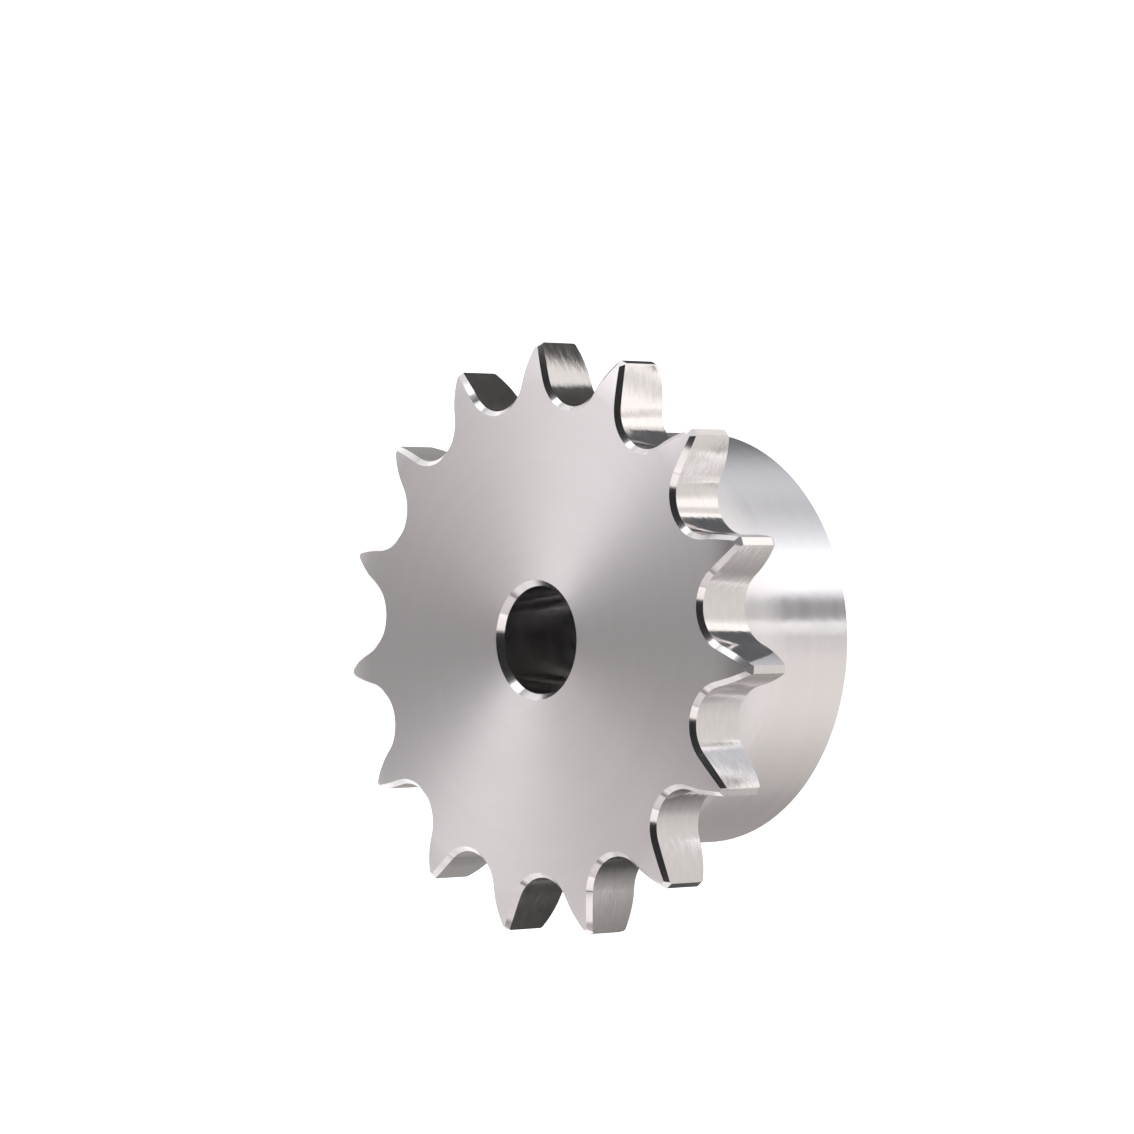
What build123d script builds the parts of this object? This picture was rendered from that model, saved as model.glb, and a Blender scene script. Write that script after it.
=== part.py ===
from build123d import *
import os
from math import asin, degrees, radians, sin, sqrt

# Chain sprocket with its hub on one side: one turned piece of stainless steel, with cut teeth.
# It stands on the hub's end face at z = 0, with +Z along the bore and the toothed plate on top.

# Roller chain that runs on it
chain_pitch = 9.525
roller_diameter = 6.35

# Teeth: the tips rise above the pitch circle by half of (tip_factor * pitch - roller)
teeth = 15
tip_factor = 1.054
seating_factor = 0.505
seating_angle = 124.0
flank_radius = 15.0
flank_angle = 30.0

# Toothed plate, thinned towards the tips by a curve on each side
tooth_width = 5.3
side_relief_radius = 9.525
side_relief_depth = 0.62

# Hub and bore
hub_diameter = 35.0
overall_length = 19.5
bore_diameter = 9.0

# Broken edges, and the turned corner between hub and plate
front_tooth_chamfer = 0.4
back_tooth_chamfer = 0.25
bore_chamfer = 0.5
hub_chamfer = 0.5
hub_fillet = 0.5

# Tooth circles
pitch_radius = chain_pitch / (2 * sin(radians(180 / teeth)))
tip_radius = pitch_radius + (tip_factor * chain_pitch - roller_diameter) / 2
seating_radius = seating_factor * roller_diameter

# Heights of the plate, and where its side relief starts
plate_back = overall_length - tooth_width
plate_middle = overall_length - tooth_width / 2
relief_width = sqrt(side_relief_radius**2 - (side_relief_radius - side_relief_depth) ** 2)
relief_start = tip_radius - relief_width
relief_angle = degrees(asin(relief_width / side_relief_radius))

# The first tooth points along +Y, so the first gap lies half a tooth further round
first_gap = 90 + 180 / teeth

with BuildPart() as sprocket:
    # Turned plate: half section with the relief curves of both sides
    with BuildSketch(Plane.XZ):
        with BuildLine():
            back_side = Line((0, plate_back), (relief_start, plate_back))
            back_relief = JernArc(back_side @ 1, back_side % 1, side_relief_radius, relief_angle)
            front_side = Line((0, overall_length), (relief_start, overall_length))
            front_relief = JernArc(front_side @ 1, front_side % 1, side_relief_radius, -relief_angle)
            Line(back_relief @ 1, front_relief @ 1)
            Line(back_side @ 0, front_side @ 0)
        make_face()
    revolve(axis=Axis.Z)

    # Tooth gap: a roller seat between two flanks that curve away from it
    with BuildSketch(mode=Mode.PRIVATE) as gap:
        with BuildLine():
            seat = CenterArc((pitch_radius, 0), seating_radius, 180 - seating_angle / 2, seating_angle)
            left_flank = JernArc(seat @ 0, -(seat % 0), flank_radius, flank_angle)
            right_flank = JernArc(seat @ 1, seat % 1, flank_radius, -flank_angle)
            Line(left_flank @ 1, right_flank @ 1)
        make_face()

    # Teeth: one gap is cut out of the plate for each tooth
    with BuildSketch(Plane.XY.offset(plate_back)):
        with PolarLocations(0, teeth, start_angle=first_gap):
            add(gap.sketch)
    extrude(amount=tooth_width, mode=Mode.SUBTRACT)

    # Rims of the tooth walls, on the plate's front and then on its back
    front_rim = (plate_middle, overall_length, front_tooth_chamfer)
    back_rim = (plate_back, plate_middle, back_tooth_chamfer)
    for low, high, rim_chamfer in (front_rim, back_rim):
        tooth_walls = sprocket.faces().filter_by(GeomType.CYLINDER)
        rim = tooth_walls.edges().filter_by(Axis.Z, reverse=True)
        chamfer(rim.filter_by_position(Axis.Z, low, high), rim_chamfer)

    # Hub: turned from its chamfered end up to the curved corner under the plate
    with BuildSketch(Plane.XZ):
        with BuildLine():
            hub_end = Line((0, 0), (hub_diameter / 2 - hub_chamfer, 0))
            hub_side = Polyline(
                hub_end @ 1,
                (hub_diameter / 2, hub_chamfer),
                (hub_diameter / 2, plate_back - hub_fillet),
            )
            hub_corner = JernArc(hub_side @ 1, (0, 1), hub_fillet, -90)
            Polyline(hub_corner @ 1, (0, plate_back), (0, 0))
        make_face()
    revolve(axis=Axis.Z)

    # Bore, with both its mouths chamfered
    Hole(bore_diameter / 2)
    bore_wall = sprocket.faces(Select.LAST).filter_by(GeomType.CYLINDER)
    chamfer(bore_wall.edges().filter_by(GeomType.CIRCLE), bore_chamfer)

sprocket.part.label = "sprocket"

os.makedirs("parts", exist_ok=True)
export_step(sprocket.part, "parts/sprocket.step")
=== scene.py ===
import bpy
from math import cos, pi, radians, sin
from mathutils import Matrix, Vector


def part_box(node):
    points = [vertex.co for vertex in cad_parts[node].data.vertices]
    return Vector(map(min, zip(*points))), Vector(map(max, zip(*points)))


bl_info = {
    "name": "Chain sprocket studio",
    "version": (1, 0, 0),
    "blender": (4, 5, 0),
    "location": "View3D > Sidebar > Sprocket",
    "description": "Finishes a turned stainless steel chain sprocket and lights it",
    "category": "Object",
}

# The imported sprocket, and the box that its CAD model fills
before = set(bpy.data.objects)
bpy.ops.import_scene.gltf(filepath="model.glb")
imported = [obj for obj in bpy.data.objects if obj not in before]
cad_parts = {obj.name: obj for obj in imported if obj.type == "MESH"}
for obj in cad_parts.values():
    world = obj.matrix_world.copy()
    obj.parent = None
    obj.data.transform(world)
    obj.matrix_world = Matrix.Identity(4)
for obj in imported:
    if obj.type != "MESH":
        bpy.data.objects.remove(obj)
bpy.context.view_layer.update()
SPROCKET = "sprocket"
SPROCKET_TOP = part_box(SPROCKET)[1][2]

# Sizes of the sprocket. Outside the gap radius, upright walls are those of the tooth gaps, and inside it
# they are the hub's and the bore's.
MM = 0.001
BORE_RADIUS = 4.5 * MM
GAP_RADIUS = 18.6 * MM
PITCH_RADIUS = 22.9 * MM
SEAT_RADIUS = 3.2 * MM


# Settings that a user would change

class SprocketFinish(bpy.types.PropertyGroup):
    steel: bpy.props.FloatVectorProperty(
        name="Steel colour",
        description="Colour of the turned stainless steel",
        subtype="COLOR",
        size=3,
        min=0.0,
        max=1.0,
        default=(0.665, 0.637, 0.640),
    )
    turned_roughness: bpy.props.FloatProperty(
        name="Turned roughness",
        description="How far the turned faces spread a highlight",
        subtype="FACTOR",
        min=0.0,
        max=1.0,
        default=0.4,
    )
    hub_roughness: bpy.props.FloatProperty(
        name="Hub roughness",
        description="How far the side of the hub spreads a highlight",
        subtype="FACTOR",
        min=0.0,
        max=1.0,
        default=0.18,
    )
    chamfer_roughness: bpy.props.FloatProperty(
        name="Chamfer roughness",
        description="How far the broken edges spread a highlight",
        subtype="FACTOR",
        min=0.0,
        max=1.0,
        default=0.17,
    )
    gap_roughness: bpy.props.FloatProperty(
        name="Tooth gap roughness",
        description="How far the cut walls of the tooth gaps spread a highlight",
        subtype="FACTOR",
        min=0.0,
        max=1.0,
        default=0.12,
    )
    streak: bpy.props.FloatProperty(
        name="Streak",
        description="How much wider a highlight is across the tool marks than along them",
        subtype="FACTOR",
        min=0.0,
        max=1.0,
        default=0.8,
    )
    mark_depth: bpy.props.FloatProperty(
        name="Tool mark depth",
        description="Depth of the finest tool marks",
        subtype="DISTANCE",
        min=0.0,
        default=0.000002,
        precision=7,
    )


class SprocketStage(bpy.types.PropertyGroup):
    floor_radius: bpy.props.FloatProperty(
        name="Floor radius",
        description="Radius of the round floor, out to its wall",
        subtype="DISTANCE",
        min=0.5,
        default=3.0,
    )
    middle_radius: bpy.props.FloatProperty(
        name="Middle radius",
        description="Radius of the middle of the floor, in place of which the steel mirrors the far cards",
        subtype="DISTANCE",
        min=0.026,
        default=0.0285,
    )
    wall_height: bpy.props.FloatProperty(
        name="Wall height",
        description="Height of the pale wall round the floor",
        subtype="DISTANCE",
        min=0.1,
        default=0.85,
    )
    floor_colour: bpy.props.FloatVectorProperty(
        name="Floor colour",
        description="Colour of the plain pale floor",
        subtype="COLOR",
        size=3,
        min=0.0,
        max=1.0,
        default=(0.8, 0.8, 0.8),
    )
    ceiling: bpy.props.FloatProperty(
        name="Ceiling",
        description="Brightness of the room above the lamps",
        min=0.0,
        default=0.3,
    )
    lens: bpy.props.FloatProperty(
        name="Lens",
        description="Focal length of the camera, in millimetres on a 36 mm sensor",
        min=10.0,
        default=150.8,
    )


# Small helpers for node trees

def add_node(tree, kind, **values):
    node = tree.nodes.new(kind)
    for name, value in values.items():
        setattr(node, name, value)
    return node


def join(tree, source, target):
    tree.links.new(source, target)


def feed(tree, socket, value):
    if isinstance(value, bpy.types.NodeSocket):
        tree.links.new(value, socket)
    else:
        socket.default_value = value


def maths(tree, operation, *values):
    node = add_node(tree, "ShaderNodeMath", operation=operation)
    for socket, value in zip(node.inputs, values):
        feed(tree, socket, value)
    return node.outputs[0]


def vector_maths(tree, operation, *values):
    node = add_node(tree, "ShaderNodeVectorMath", operation=operation)
    for socket, value in zip(node.inputs, values):
        feed(tree, socket, value)
    return node.outputs["Value" if operation == "LENGTH" else "Vector"]


def vector(tree, x, y, z):
    node = add_node(tree, "ShaderNodeCombineXYZ")
    for socket, value in zip(node.inputs, (x, y, z)):
        feed(tree, socket, value)
    return node.outputs[0]


def parts(tree, source):
    node = add_node(tree, "ShaderNodeSeparateXYZ")
    join(tree, source, node.inputs[0])
    return node.outputs


def coordinates(tree, kind="Object"):
    return parts(tree, add_node(tree, "ShaderNodeTexCoord").outputs[kind])


def from_axis(tree, x, y):
    return vector_maths(tree, "LENGTH", vector(tree, x, y, 0.0))


def ramp(tree, value, low, high, to_low=0.0, to_high=1.0):
    node = add_node(tree, "ShaderNodeMapRange", interpolation_type="SMOOTHSTEP")
    names = ("Value", "From Min", "From Max", "To Min", "To Max")
    for name, number in zip(names, (value, low, high, to_low, to_high)):
        feed(tree, node.inputs[name], number)
    return node.outputs["Result"]


def mix(tree, factor, first, second, kind="FLOAT"):
    node = add_node(tree, "ShaderNodeMix", data_type=kind)
    place = {"FLOAT": 2, "VECTOR": 4, "RGBA": 6}[kind]
    feed(tree, node.inputs["Factor"], factor)
    feed(tree, node.inputs[place], first)
    feed(tree, node.inputs[place + 1], second)
    return node.outputs[{"FLOAT": 0, "VECTOR": 1, "RGBA": 2}[kind]]


def noise(tree, place, detail, height=None):
    node = add_node(tree, "ShaderNodeTexNoise", noise_dimensions="3D" if height is None else "4D")
    join(tree, place, node.inputs["Vector"])
    if height is not None:
        join(tree, height, node.inputs["W"])
    node.inputs["Scale"].default_value = 1.0
    node.inputs["Detail"].default_value = detail
    return node.outputs["Fac"]


# The finish

# Rings left by turning: how many to the metre, how much they change on the way round, and their detail
FINE_RINGS = (6000.0, 3.0, 2.0)
WIDE_RINGS = (900.0, 1.5, 3.0)
HUB_RINGS = (1200.0, 10.0, 2.0)

# Marks of the cutter on the tooth gaps' walls: how many to the metre, along and upright, and their detail
CUTTER_ALONG = 900.0
CUTTER_UPRIGHT = 2300.0
CUTTER_DETAIL = 2.0

# Depth of the marks on the hub and in the tooth gaps, in times that of the finest
HUB_DEPTH = 4.5
CUTTER_DEPTH = 7.0

# How far the roughness strays to each side, and the dullest shade of the steel
TURNED_SPREAD = 0.012
HUB_SPREAD = 0.02
CUTTER_SPREAD = 0.03
DULLEST = 0.975

# The slope of a face, as the upright part of its normal: chamfers lie between walls and level faces
WALL_SLOPE = 0.5
CHAMFER_SLOPE = 0.9


def turned_steel(settings):
    mat = bpy.data.materials.new("turned_stainless_steel")
    mat.use_nodes = True
    tree = mat.node_tree
    tree.nodes.clear()
    out = add_node(tree, "ShaderNodeOutputMaterial")
    steel = add_node(tree, "ShaderNodeBsdfPrincipled")
    join(tree, steel.outputs["BSDF"], out.inputs["Surface"])

    # Place on the part: radius from the axis, and the way round it
    x, y, z = coordinates(tree)
    radius = from_axis(tree, x, y)
    way_x = maths(tree, "DIVIDE", x, radius)
    way_y = maths(tree, "DIVIDE", y, radius)

    # Which face a point is on, told by its slope and its radius
    normal = add_node(tree, "ShaderNodeNewGeometry").outputs["Normal"]
    level = maths(tree, "ABSOLUTE", parts(tree, normal)[2])
    steep = maths(tree, "LESS_THAN", level, CHAMFER_SLOPE)
    upright = maths(tree, "LESS_THAN", level, WALL_SLOPE)
    chamfer = maths(tree, "SUBTRACT", steep, upright)
    outside = maths(tree, "GREATER_THAN", radius, GAP_RADIUS)
    gap_wall = maths(tree, "MULTIPLY", upright, outside)

    # Tool marks run round the axis, and on the teeth's walls and chamfers along their outline
    round_axis = vector(tree, maths(tree, "MULTIPLY", y, -1.0), x, 0.0)
    along_outline = vector_maths(tree, "CROSS_PRODUCT", normal, (0.0, 0.0, 1.0))
    follows_teeth = maths(tree, "MULTIPLY", steep, outside)
    join(tree, mix(tree, follows_teeth, round_axis, along_outline, "VECTOR"), steel.inputs["Tangent"])

    # Noise drawn out round the axis
    def rings(per_metre, changes, detail):
        place = vector(
            tree,
            maths(tree, "MULTIPLY", way_x, changes),
            maths(tree, "MULTIPLY", way_y, changes),
            maths(tree, "MULTIPLY", radius, per_metre),
        )
        return noise(tree, place, detail, maths(tree, "MULTIPLY", z, per_metre))

    fine = rings(*FINE_RINGS)
    wide = rings(*WIDE_RINGS)
    hub_rings = rings(*HUB_RINGS)
    cutter_place = vector(
        tree,
        maths(tree, "MULTIPLY", x, CUTTER_ALONG),
        maths(tree, "MULTIPLY", y, CUTTER_ALONG),
        maths(tree, "MULTIPLY", z, CUTTER_UPRIGHT),
    )
    cutter = noise(tree, cutter_place, CUTTER_DETAIL)

    # The marks between two edges of their range, spread out round a middle value
    def spread(marks, edge, middle=0.5, side=0.5):
        return ramp(tree, marks, edge, 1.0 - edge, middle - side, middle + side)

    shade = mix(tree, gap_wall, spread(wide, 0.3), spread(cutter, 0.35))
    dull = [DULLEST * c for c in settings.steel]
    colour = mix(tree, shade, (*dull, 1.0), (*settings.steel, 1.0), "RGBA")
    join(tree, colour, steel.inputs["Base Color"])

    turned = spread(wide, 0.25, settings.turned_roughness, TURNED_SPREAD)
    hub = spread(wide, 0.3, settings.hub_roughness, HUB_SPREAD)
    cut = spread(cutter, 0.3, settings.gap_roughness, CUTTER_SPREAD)
    rough = mix(tree, gap_wall, mix(tree, upright, turned, hub), cut)
    join(tree, mix(tree, chamfer, rough, settings.chamfer_roughness), steel.inputs["Roughness"])

    bump = add_node(tree, "ShaderNodeBump")
    bump.inputs["Distance"].default_value = settings.mark_depth
    height = mix(tree, upright, fine, maths(tree, "MULTIPLY", hub_rings, HUB_DEPTH))
    height = mix(tree, gap_wall, height, maths(tree, "MULTIPLY", cutter, CUTTER_DEPTH))
    join(tree, mix(tree, chamfer, height, 0.0), bump.inputs["Height"])
    join(tree, bump.outputs["Normal"], steel.inputs["Normal"])

    # The highlight is wide across the marks, which takes a quarter turn
    steel.inputs["Anisotropic"].default_value = settings.streak
    steel.inputs["Anisotropic Rotation"].default_value = 0.25
    steel.inputs["Metallic"].default_value = 1.0
    return mat


class SPROCKET_OT_finish(bpy.types.Operator):
    """Give the sprocket its turned stainless steel"""

    bl_idname = "sprocket.finish"
    bl_label = "Finish the sprocket"

    def execute(self, context):
        mat = turned_steel(context.scene.sprocket_finish)
        for place in bpy.data.objects[SPROCKET].material_slots:
            place.material = mat
        return {"FINISHED"}


# The stage

WHITE = (1.0, 1.0, 1.0)
BLACK = (0.0, 0.0, 0.0)
COOL = (0.93, 0.955, 1.0)
WARM = (1.0, 0.96, 0.925)
CREAM = (1.0, 0.975, 0.94)


def way(angle):
    return Vector((cos(radians(angle)), sin(radians(angle)), 0.0))


def dull_paint(name, colour, glow=WHITE):
    """A material with no gloss, and its shader"""
    mat = bpy.data.materials.new(name)
    mat.use_nodes = True
    paint = mat.node_tree.nodes["Principled BSDF"]
    paint.inputs["Base Color"].default_value = (*colour, 1.0)
    paint.inputs["Specular IOR Level"].default_value = 0.0
    paint.inputs["Emission Color"].default_value = (*glow, 1.0)
    return mat, paint


def shown_background(tree):
    path = add_node(tree, "ShaderNodeLightPath")
    seen = maths(tree, "MAXIMUM", path.outputs["Is Camera Ray"], path.outputs["Is Glossy Ray"])
    return maths(tree, "MAXIMUM", seen, path.outputs["Is Transmission Ray"])


def select_faces(piece, wanted):
    """Select only the wanted faces of the piece, which is in edit mode and stays there"""
    bpy.ops.mesh.select_all(action="DESELECT")
    bpy.ops.object.mode_set(mode="OBJECT")
    for face in piece.data.polygons:
        face.select = wanted(face)
    bpy.ops.object.mode_set(mode="EDIT")


# The floor glows a little less near the part than far from it: the two distances, and its glow at each
FLOOR_GLOW = (0.1, 0.8, 0.82, 1.0)


def add_floor(settings):
    """Round walled floor. Its middle is a piece of its own, which the steel doesn't mirror."""
    bpy.ops.object.select_all(action="DESELECT")
    height = settings.wall_height
    bpy.ops.mesh.primitive_cylinder_add(
        vertices=96,
        radius=settings.floor_radius,
        depth=height,
        end_fill_type="NGON",
        location=(0.0, 0.0, height / 2),
    )
    floor = bpy.context.object
    floor.name = "studio_floor"
    bpy.ops.object.transform_apply(location=True, rotation=True, scale=True)
    bpy.ops.object.mode_set(mode="EDIT")
    select_faces(floor, lambda face: face.center.z > 0.9 * height and face.normal.z > 0.9)
    bpy.ops.mesh.delete(type="FACE")
    bpy.ops.mesh.select_all(action="SELECT")
    bpy.ops.mesh.flip_normals()
    select_faces(floor, lambda face: face.center.z < 0.1 * height and face.normal.z > 0.9)
    bpy.ops.mesh.inset(thickness=settings.floor_radius - settings.middle_radius)
    bpy.ops.mesh.separate(type="SELECTED")
    bpy.ops.object.mode_set(mode="OBJECT")
    middle = next(piece for piece in bpy.context.selected_objects if piece != floor)
    middle.name = "studio_floor_middle"
    middle.visible_glossy = False

    mat, paint = dull_paint("pale_floor", settings.floor_colour)
    tree = mat.node_tree
    paint.inputs["Roughness"].default_value = 0.9
    x, y, _ = coordinates(tree)
    glow = ramp(tree, from_axis(tree, x, y), *FLOOR_GLOW)
    join(tree, maths(tree, "MULTIPLY", shown_background(tree), glow), paint.inputs["Emission Strength"])
    for piece in (floor, middle):
        piece.data.materials.append(mat)


PLUG_CLEARANCE = 0.05 * MM
PLUG_HEIGHT = 0.02 * MM


def add_plug():
    """Black disc in the foot of the bore, so that no light comes up there"""
    bpy.ops.object.select_all(action="DESELECT")
    bpy.ops.mesh.primitive_circle_add(
        vertices=48,
        radius=BORE_RADIUS - PLUG_CLEARANCE,
        fill_type="NGON",
        location=(0.0, 0.0, PLUG_HEIGHT),
    )
    plug = bpy.context.object
    plug.name = "studio_plug"
    mat, _ = dull_paint("black_card", BLACK)
    plug.data.materials.append(mat)
    plug.visible_camera = False


# Cards that only the steel mirrors: the way round from the camera's side, in degrees, and the brightness.
# The near ones lie round the part and show in the tooth gaps. The far ones stand below it and show in
# the hub.
NEAR_CARDS = (
    (-180, 0.4), (-134, 0.42), (-120, 0.42), (-110, 0.2), (-100, 0.1), (-88, 0.08), (-78, 0.12),
    (-70, 0.23), (-50, 0.51), (-40, 0.8), (-25, 0.93), (0, 0.98), (17, 1.0), (21, 1.2), (25, 1.55),
    (32, 1.55), (35, 1.08), (40, 1.1), (43, 1.6), (52, 1.6), (56, 1.1), (68, 1.2), (72, 0.12),
    (96, 0.08), (122, 0.1), (134, 0.4), (180, 0.4),
)
FAR_CARDS = (
    (-180, 0.3), (-156, 0.43), (-118, 0.46), (-104, 0.5), (-92, 0.66), (-68, 0.85), (-52, 1.02),
    (-36, 1.1), (-12, 1.07), (4, 0.8), (5.8, 1.7), (7.4, 1.7), (9.4, 0.45), (20, 0.46), (23, 1.2),
    (27, 1.85), (44, 1.95), (54, 1.45), (64, 1.08), (76, 0.82), (92, 0.95), (108, 0.84), (122, 0.52),
    (134, 0.28), (150, 0.2), (180, 0.3),
)

# The innermost part of the near cards, which shows in the hub close under the plate. Away from the camera's
# side it is like the rest.
INNER_CARDS = (
    *NEAR_CARDS[:11], (2, 0.98), (4.3, 1.6), (6, 1.6), (7.2, 0.46), (13.5, 0.46), (16, 1.2), (19, 1.85),
    (32, 1.9), (38, 1.45), (45, 1.08), (54, 0.84), (64, 0.93), (72, 0.9), (78, 0.1), *NEAR_CARDS[-4:],
)
BRIGHTEST_CARD = 2.0


def by_way_round(tree, x, y, cards):
    """Brightness of a round of cards, blended from each to the next"""
    turn = maths(tree, "ADD", maths(tree, "DIVIDE", maths(tree, "ARCTAN2", y, x), radians(360.0)), 0.5)
    node = add_node(tree, "ShaderNodeValToRGB")
    join(tree, turn, node.inputs[0])
    points = node.color_ramp.elements
    while len(points) < len(cards):
        points.new(0.5)
    for point, (angle, brightness) in zip(points, cards):
        grey = brightness / BRIGHTEST_CARD
        point.position = angle / 360.0 + 0.5
        point.color = (grey, grey, grey, 1.0)
    return maths(tree, "MULTIPLY", node.outputs["Color"], BRIGHTEST_CARD)


def show_to_steel_only(piece):
    piece.visible_camera = False
    piece.visible_diffuse = False
    piece.visible_transmission = False
    piece.visible_shadow = False


NEAR_CARDS_RADIUS = 60.0 * MM
NEAR_CARDS_HEIGHT = 0.05 * MM
INNER_RADIUS = 30.4 * MM
INNER_BLEND = 0.4 * MM


def add_near_cards(settings):
    """Flat ring of cards round the part, just above the floor"""
    bpy.ops.object.select_all(action="DESELECT")
    bpy.ops.mesh.primitive_circle_add(
        vertices=96,
        radius=NEAR_CARDS_RADIUS,
        fill_type="NGON",
        location=(0.0, 0.0, NEAR_CARDS_HEIGHT),
    )
    cards = bpy.context.object
    cards.name = "studio_near_cards"
    bpy.ops.object.mode_set(mode="EDIT")
    bpy.ops.mesh.select_all(action="SELECT")
    bpy.ops.mesh.inset(thickness=NEAR_CARDS_RADIUS - settings.middle_radius)
    bpy.ops.mesh.delete(type="FACE")
    bpy.ops.object.mode_set(mode="OBJECT")

    mat, paint = dull_paint("near_cards", BLACK, CREAM)
    tree = mat.node_tree
    x, y, _ = coordinates(tree)
    inner, outer = (by_way_round(tree, x, y, stops) for stops in (INNER_CARDS, NEAR_CARDS))
    edge = (INNER_RADIUS - INNER_BLEND, INNER_RADIUS + INNER_BLEND)
    join(tree, ramp(tree, from_axis(tree, x, y), *edge, inner, outer), paint.inputs["Emission Strength"])
    cards.data.materials.append(mat)
    show_to_steel_only(cards)


# Dark cards close below three tooth gaps: the way round to the gap, the way that its wall faces where the
# mirrored card begins, both in degrees, and the height of the card's middle. Each card is tilted both ways,
# so that the neighbouring teeth and the hub hardly mirror it.
DARK_CARDS = ((6.0, 35.0, 12.3 * MM), (30.0, 33.0, 12.3 * MM), (54.0, 29.0, 11.6 * MM))
DARK_CARD_SIZE = 6.4 * MM
DARK_CARD_AWAY = 3.75 * MM
DARK_CARD_TILT = (18.0, -24.0)
DARK_CARD_GLOW = 0.16
DARK_CARD_NEAREST = 4.8 * MM


def dark_card_paint():
    """Nearly black, and clear to what is nearer than a few millimetres or looks up from below"""
    mat, paint = dull_paint("dark_card", BLACK, COOL)
    tree = mat.node_tree
    paint.inputs["Emission Strength"].default_value = DARK_CARD_GLOW
    length = add_node(tree, "ShaderNodeLightPath").outputs["Ray Length"]
    below = add_node(tree, "ShaderNodeNewGeometry").outputs["Backfacing"]
    solid = maths(tree, "GREATER_THAN", maths(tree, "SUBTRACT", length, below), DARK_CARD_NEAREST)
    clear = add_node(tree, "ShaderNodeBsdfTransparent")
    seen = add_node(tree, "ShaderNodeMixShader")
    join(tree, solid, seen.inputs[0])
    join(tree, clear.outputs["BSDF"], seen.inputs[1])
    join(tree, paint.outputs["BSDF"], seen.inputs[2])
    join(tree, seen.outputs["Shader"], tree.nodes["Material Output"].inputs["Surface"])
    return mat


def add_dark_card(mat, gap, facing, height):
    """Card below a tooth gap, mirrored by the part of its wall that faces further round than facing"""
    bpy.ops.object.select_all(action="DESELECT")
    edge = PITCH_RADIUS * way(gap) - SEAT_RADIUS * way(facing)
    middle = edge + DARK_CARD_AWAY * way(2.0 * facing) + DARK_CARD_SIZE / 2 * way(2.0 * facing + 90.0)
    middle.z = height
    turn = [radians(angle) for angle in (*DARK_CARD_TILT, 2.0 * facing)]
    bpy.ops.mesh.primitive_plane_add(size=DARK_CARD_SIZE, location=middle, rotation=turn)
    card = bpy.context.object
    card.name = f"studio_dark_card_{gap:.0f}"
    card.data.materials.append(mat)
    show_to_steel_only(card)


# Heights in degrees above the horizon: the lower and upper edge of the far cards, both a little soft, and
# where the white above them ends and the room begins, which the steel mirrors dimly
FAR_CARDS_HEIGHTS = (-64.0, -26.0)
FAR_CARDS_BLEND = 0.03
ROOM_HEIGHTS = (12.0, 28.0)
ROOM_IN_STEEL = 0.1

# What the steel mirrors turns from warm to cool on the way up the picture
WARM_TO_COOL = (-0.3, 0.5)


def add_world(settings):
    """Room that shows white, and that the steel sees as the far cards, white beside them, and dim above"""
    world = bpy.data.worlds.new("studio")
    bpy.context.scene.world = world
    world.use_nodes = True
    tree = world.node_tree
    room = tree.nodes["Background"]
    path = add_node(tree, "ShaderNodeLightPath")
    glossy = path.outputs["Is Glossy Ray"]
    shown = maths(tree, "MAXIMUM", path.outputs["Is Camera Ray"], path.outputs["Is Transmission Ray"])

    x, y, z = coordinates(tree, "Generated")
    cards_low, cards_high = (sin(radians(angle)) for angle in FAR_CARDS_HEIGHTS)
    over = ramp(tree, z, cards_high - FAR_CARDS_BLEND, cards_high + FAR_CARDS_BLEND)
    under = ramp(tree, z, cards_low + FAR_CARDS_BLEND, cards_low - FAR_CARDS_BLEND)
    beside = maths(tree, "MAXIMUM", over, under)
    cards = mix(tree, beside, by_way_round(tree, x, y, FAR_CARDS), 1.0)
    room_low, room_high = (sin(radians(angle)) for angle in ROOM_HEIGHTS)
    mirrored = mix(tree, ramp(tree, z, room_low, room_high), cards, ROOM_IN_STEEL * settings.ceiling)
    strength = mix(tree, shown, mix(tree, glossy, settings.ceiling, mirrored), 1.0)
    join(tree, strength, room.inputs["Strength"])

    tint = mix(tree, ramp(tree, y, *WARM_TO_COOL), (*WARM, 1.0), (*COOL, 1.0), "RGBA")
    join(tree, mix(tree, glossy, (*WHITE, 1.0), tint, "RGBA"), room.inputs["Color"])


# Softboxes: way round from the camera's side and rise in degrees, width and height in metres, brightness,
# tint
SOFTBOXES = {
    "upper_side": (99.0, 36.0, 0.32, 0.55, 2.4, (0.97, 0.98, 1.0)),
    "upper_key": (140.0, 46.0, 0.8, 0.55, 1.95, (1.0, 0.985, 1.0)),
    "back_fill": (180.0, 46.0, 0.25, 0.55, 0.3, (1.0, 0.96, 0.96)),
    "lower_fill": (229.0, 42.0, 1.2, 0.8, 0.94, (1.0, 0.95, 0.95)),
    "lower_side": (287.0, 42.0, 0.54, 0.8, 0.95, (1.0, 0.95, 0.95)),
    "front_fill": (322.0, 46.0, 0.42, 0.55, 1.4, (1.0, 0.96, 0.95)),
}
LAMP_DISTANCE = 1.0


def add_softbox(name, way_round, rise, width, tall, brightness, tint):
    """Lamp that faces the middle of the part, and is as bright as it is told at any size"""
    lamp = bpy.data.lights.new(name, "AREA")
    lamp.shape = "RECTANGLE"
    lamp.size = width
    lamp.size_y = tall
    lamp.color = tint
    lamp.energy = brightness * width * tall * pi
    box = bpy.data.objects.new(name, lamp)
    bpy.context.collection.objects.link(box)
    turn, up = radians(way_round), radians(rise)
    outwards = Vector((cos(up) * cos(turn), cos(up) * sin(turn), sin(up)))
    box.location = Vector((0.0, 0.0, SPROCKET_TOP / 2)) + outwards * LAMP_DISTANCE
    box.rotation_euler = outwards.to_track_quat("Z", "Y").to_euler()
    box.visible_camera = False


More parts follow.
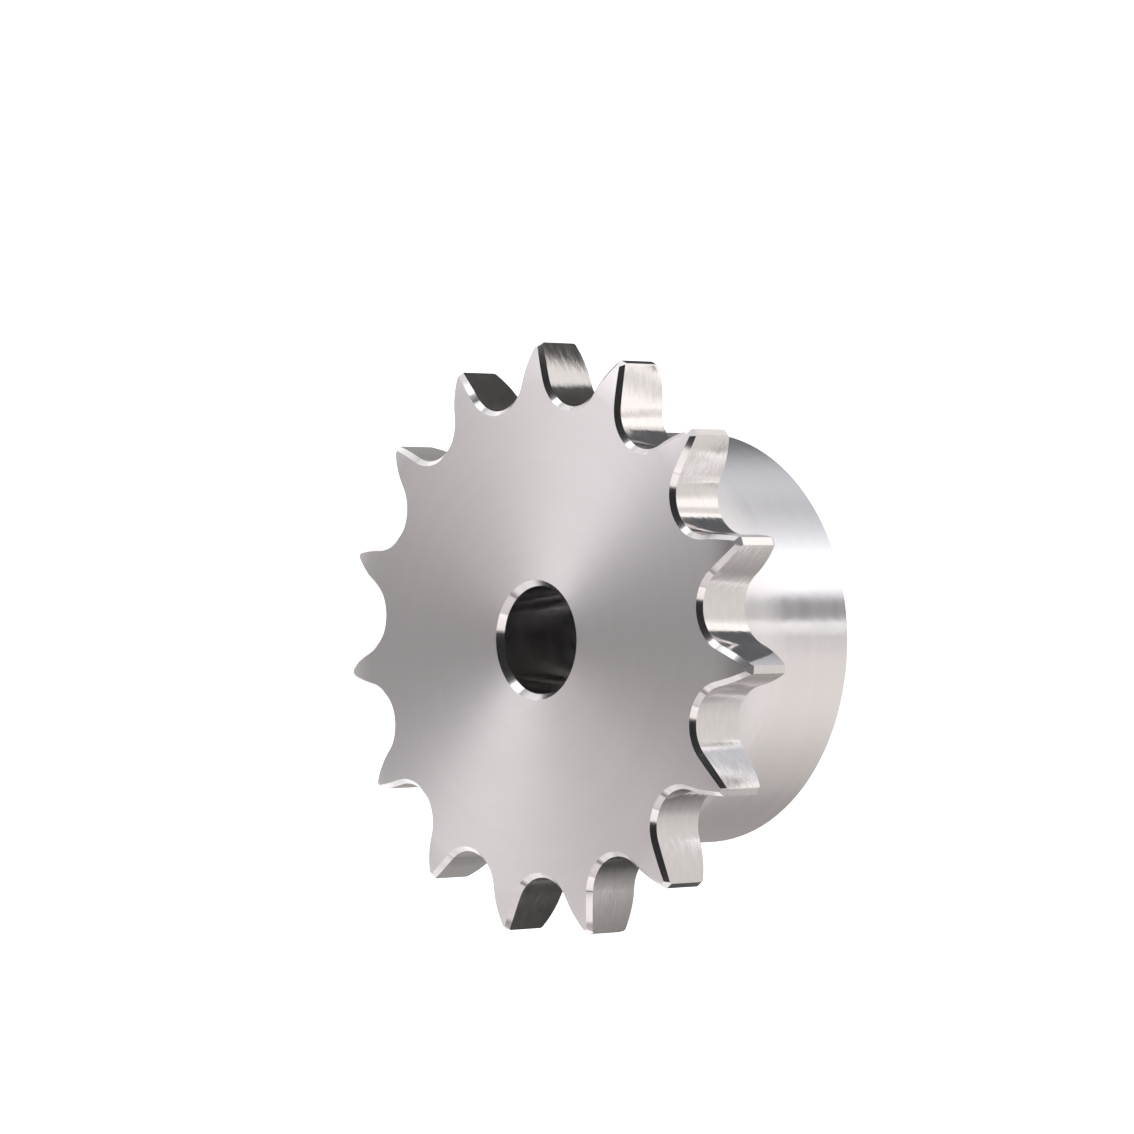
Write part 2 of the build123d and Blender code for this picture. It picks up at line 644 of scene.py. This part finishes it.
# The camera, fitted to the photograph: its place, and the ways that its back and its top point
CAMERA_PLACE = (0.29279, 0.00007, 0.28333)
CAMERA_BACK = (0.73827, -0.01511, 0.67434)
CAMERA_TOP = (0.02045, 0.99979, 0.0)


def add_camera(settings):
    data = bpy.data.cameras.new("camera")
    data.sensor_width = 36.0
    data.lens = settings.lens
    data.clip_start = 0.01
    camera = bpy.data.objects.new("camera", data)
    bpy.context.collection.objects.link(camera)
    back = Vector(CAMERA_BACK).normalized()
    right = Vector(CAMERA_TOP).cross(back).normalized()
    turn = Matrix((right, back.cross(right), back)).transposed()
    camera.matrix_world = Matrix.LocRotScale(Vector(CAMERA_PLACE), turn, None)
    bpy.context.scene.camera = camera


class SPROCKET_OT_stage(bpy.types.Operator):
    """Set up the floor, the cards, the room, the lamps and the camera"""

    bl_idname = "sprocket.stage"
    bl_label = "Set up the stage"

    def execute(self, context):
        settings = context.scene.sprocket_stage
        add_floor(settings)
        add_plug()
        add_near_cards(settings)
        dark_card = dark_card_paint()
        for values in DARK_CARDS:
            add_dark_card(dark_card, *values)
        add_world(settings)
        for name, values in SOFTBOXES.items():
            add_softbox(name, *values)
        add_camera(settings)
        context.scene.view_settings.view_transform = "Standard"
        return {"FINISHED"}


class SPROCKET_PT_panel(bpy.types.Panel):
    bl_label = "Sprocket"
    bl_space_type = "VIEW_3D"
    bl_region_type = "UI"
    bl_category = "Sprocket"

    def draw(self, context):
        for settings in (context.scene.sprocket_finish, context.scene.sprocket_stage):
            for name in settings.bl_rna.properties.keys():
                if name not in ("rna_type", "name"):
                    self.layout.prop(settings, name)
        self.layout.operator("sprocket.finish")
        self.layout.operator("sprocket.stage")


CLASSES = (SprocketFinish, SprocketStage, SPROCKET_OT_finish, SPROCKET_OT_stage, SPROCKET_PT_panel)


def register():
    for cls in CLASSES:
        bpy.utils.register_class(cls)
    bpy.types.Scene.sprocket_finish = bpy.props.PointerProperty(type=SprocketFinish)
    bpy.types.Scene.sprocket_stage = bpy.props.PointerProperty(type=SprocketStage)


def unregister():
    del bpy.types.Scene.sprocket_stage
    del bpy.types.Scene.sprocket_finish
    for cls in reversed(CLASSES):
        bpy.utils.unregister_class(cls)


def main():
    register()
    bpy.ops.sprocket.finish()
    bpy.ops.sprocket.stage()


if __name__ == "__main__":
    main()
